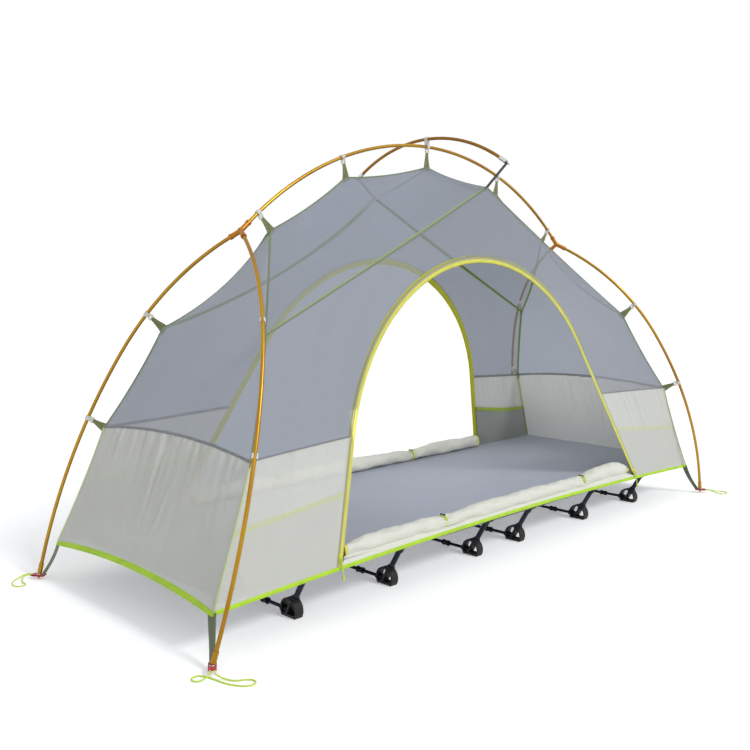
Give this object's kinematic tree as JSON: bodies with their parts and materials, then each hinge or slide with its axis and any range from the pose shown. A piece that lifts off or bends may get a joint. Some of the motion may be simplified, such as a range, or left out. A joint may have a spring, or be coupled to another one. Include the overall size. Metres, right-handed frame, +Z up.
{
  "type": "folding cot with tent",
  "caption": "Low folding cot with clip-on legs under a sling bed, carrying a mesh tent with arched zip doors hung from an outside pole frame.",
  "frame": {"origin": "on the ground under the middle of the bed", "axes": "+X along the bed, +Z up, -Y towards the near door"},
  "size_m": [2.0844, 0.8995, 1.0996],
  "materials": {
    "bed_cloth": "woven, matt",
    "sleeve_cloth": "woven, matt",
    "rail_metal": "dark anodised",
    "insert_metal": "plain",
    "mesh_cloth": "fine mesh, see-through",
    "lower_cloth": "thin coated weave, slight sheen",
    "zip_tape": "tape with coil teeth",
    "binding_tape": "ribbed tape",
    "pocket_cloth": "fine mesh",
    "roll_cloth": "thin coated weave",
    "tie_tape": "braided",
    "pole_metal": "gold anodised, glossy",
    "hub_metal": "orange anodised",
    "tip_metal": "turned",
    "clip_plastic": "milky moulded",
    "strap_webbing": "woven webbing",
    "corner_webbing": "woven webbing",
    "tab_webbing": "woven webbing",
    "dark_elastic": "elastic webbing",
    "peg_cord": "braided cord",
    "foot_plastic": "moulded, fine grain",
    "leg_tube": "dark anodised",
    "fitting_plastic": "moulded",
    "slider_metal": "painted",
    "pull_cord": "braided cord with moulded end"
  },
  "bodies": {
    "frame": {"bed_sheet": "bed_cloth", "rail_sleeves": "sleeve_cloth", "far_rail": "rail_metal", "near_rail": "rail_metal", "rail_inserts": "insert_metal", "roof_panels": "mesh_cloth", "end_wall_mesh": "mesh_cloth", "end_lower_panels": "lower_cloth", "near_wall_mesh": "mesh_cloth", "far_wall_mesh": "mesh_cloth", "near_lower_panels": "lower_cloth", "far_lower_panels": "lower_cloth", "near_door_zip": "zip_tape", "far_door_zip": "zip_tape", "base_binding": "binding_tape", "corner_pockets": "pocket_cloth", "far_door_roll": "roll_cloth", "near_door_roll": "roll_cloth", "roll_ties": "tie_tape", "ridge_pole": "pole_metal", "right_leg_poles": "pole_metal", "left_leg_poles": "pole_metal", "cross_pole": "pole_metal", "pole_hubs": "hub_metal", "pole_tips": "tip_metal", "pole_clips": "clip_plastic", "clip_straps": "strap_webbing", "cross_pole_straps": "dark_elastic", "corner_tabs": "tab_webbing", "corner_straps": "corner_webbing", "peg_loop_near_left": "peg_cord", "peg_loop_far_left": "peg_cord", "peg_loop_near_right": "peg_cord", "peg_loop_far_right": "peg_cord"},
    "leg_1": {"leg_1_feet": "foot_plastic", "leg_1_tubes": "leg_tube", "leg_1_fittings": "fitting_plastic"},
    "leg_2": {"leg_2_feet": "foot_plastic", "leg_2_tubes": "leg_tube", "leg_2_fittings": "fitting_plastic"},
    "leg_3": {"leg_3_feet": "foot_plastic", "leg_3_tubes": "leg_tube", "leg_3_fittings": "fitting_plastic"},
    "leg_4": {"leg_4_feet": "foot_plastic", "leg_4_tubes": "leg_tube", "leg_4_fittings": "fitting_plastic"},
    "leg_5": {"leg_5_feet": "foot_plastic", "leg_5_tubes": "leg_tube", "leg_5_fittings": "fitting_plastic"},
    "leg_6": {"leg_6_feet": "foot_plastic", "leg_6_tubes": "leg_tube", "leg_6_fittings": "fitting_plastic"},
    "far_right_slider": {"far_right_zip_slider": "slider_metal"},
    "far_right_pull": {"far_right_zip_pull": "pull_cord"},
    "far_left_slider": {"far_left_zip_slider": "slider_metal"},
    "far_left_pull": {"far_left_zip_pull": "pull_cord"},
    "near_right_slider": {"near_right_zip_slider": "slider_metal"},
    "near_right_pull": {"near_right_zip_pull": "pull_cord"},
    "near_left_slider": {"near_left_zip_slider": "slider_metal"},
    "near_left_pull": {"near_left_zip_pull": "pull_cord"}
  },
  "joints": [
    {"name": "leg_1_swing", "type": "hinge", "parent": "frame", "child": "leg_1", "pos_m": [-0.7, 0.3, 0.1045], "axis": [1, 0, 0], "range_deg": [0, 50]},
    {"name": "leg_2_swing", "type": "hinge", "parent": "frame", "child": "leg_2", "pos_m": [-0.41, 0.3, 0.1045], "axis": [1, 0, 0], "range_deg": [0, 50]},
    {"name": "leg_3_swing", "type": "hinge", "parent": "frame", "child": "leg_3", "pos_m": [-0.092, 0.3, 0.1045], "axis": [1, 0, 0], "range_deg": [0, 50]},
    {"name": "leg_4_swing", "type": "hinge", "parent": "frame", "child": "leg_4", "pos_m": [0.092, 0.3, 0.1045], "axis": [1, 0, 0], "range_deg": [0, 50]},
    {"name": "leg_5_swing", "type": "hinge", "parent": "frame", "child": "leg_5", "pos_m": [0.41, 0.3, 0.1045], "axis": [1, 0, 0], "range_deg": [0, 50]},
    {"name": "leg_6_swing", "type": "hinge", "parent": "frame", "child": "leg_6", "pos_m": [0.7, 0.3, 0.1045], "axis": [1, 0, 0], "range_deg": [0, 50]},
    {"name": "far_right_slider_run", "type": "slide", "parent": "frame", "child": "far_right_slider", "axis": [-0.2587, -0.122, 0.9582], "range_m": [0, 0.2]},
    {"name": "far_right_pull_swing", "type": "hinge", "parent": "far_right_slider", "child": "far_right_pull", "pos_m": [0.62105, 0.32249, 0.12264], "axis": [1, 0, 0], "range_deg": [0, 100]},
    {"name": "far_left_slider_run", "type": "slide", "parent": "frame", "child": "far_left_slider", "axis": [0.5115, -0.1085, 0.8524], "range_m": [0, 0.2]},
    {"name": "far_left_pull_swing", "type": "hinge", "parent": "far_left_slider", "child": "far_left_pull", "pos_m": [-0.61144, 0.3228, 0.12019], "axis": [1, 0, 0], "range_deg": [0, 100]},
    {"name": "near_right_slider_run", "type": "slide", "parent": "frame", "child": "near_right_slider", "axis": [-0.5115, 0.1085, 0.8524], "range_m": [0, 0.2]},
    {"name": "near_right_pull_swing", "type": "hinge", "parent": "near_right_slider", "child": "near_right_pull", "pos_m": [0.61144, -0.3228, 0.12019], "axis": [-1, 0, 0], "range_deg": [0, 100]},
    {"name": "near_left_slider_run", "type": "slide", "parent": "frame", "child": "near_left_slider", "axis": [0.2587, 0.122, 0.9582], "range_m": [0, 0.2]},
    {"name": "near_left_pull_swing", "type": "hinge", "parent": "near_left_slider", "child": "near_left_pull", "pos_m": [-0.62105, -0.32249, 0.12264], "axis": [-1, 0, 0], "range_deg": [0, 100]}
  ]
}
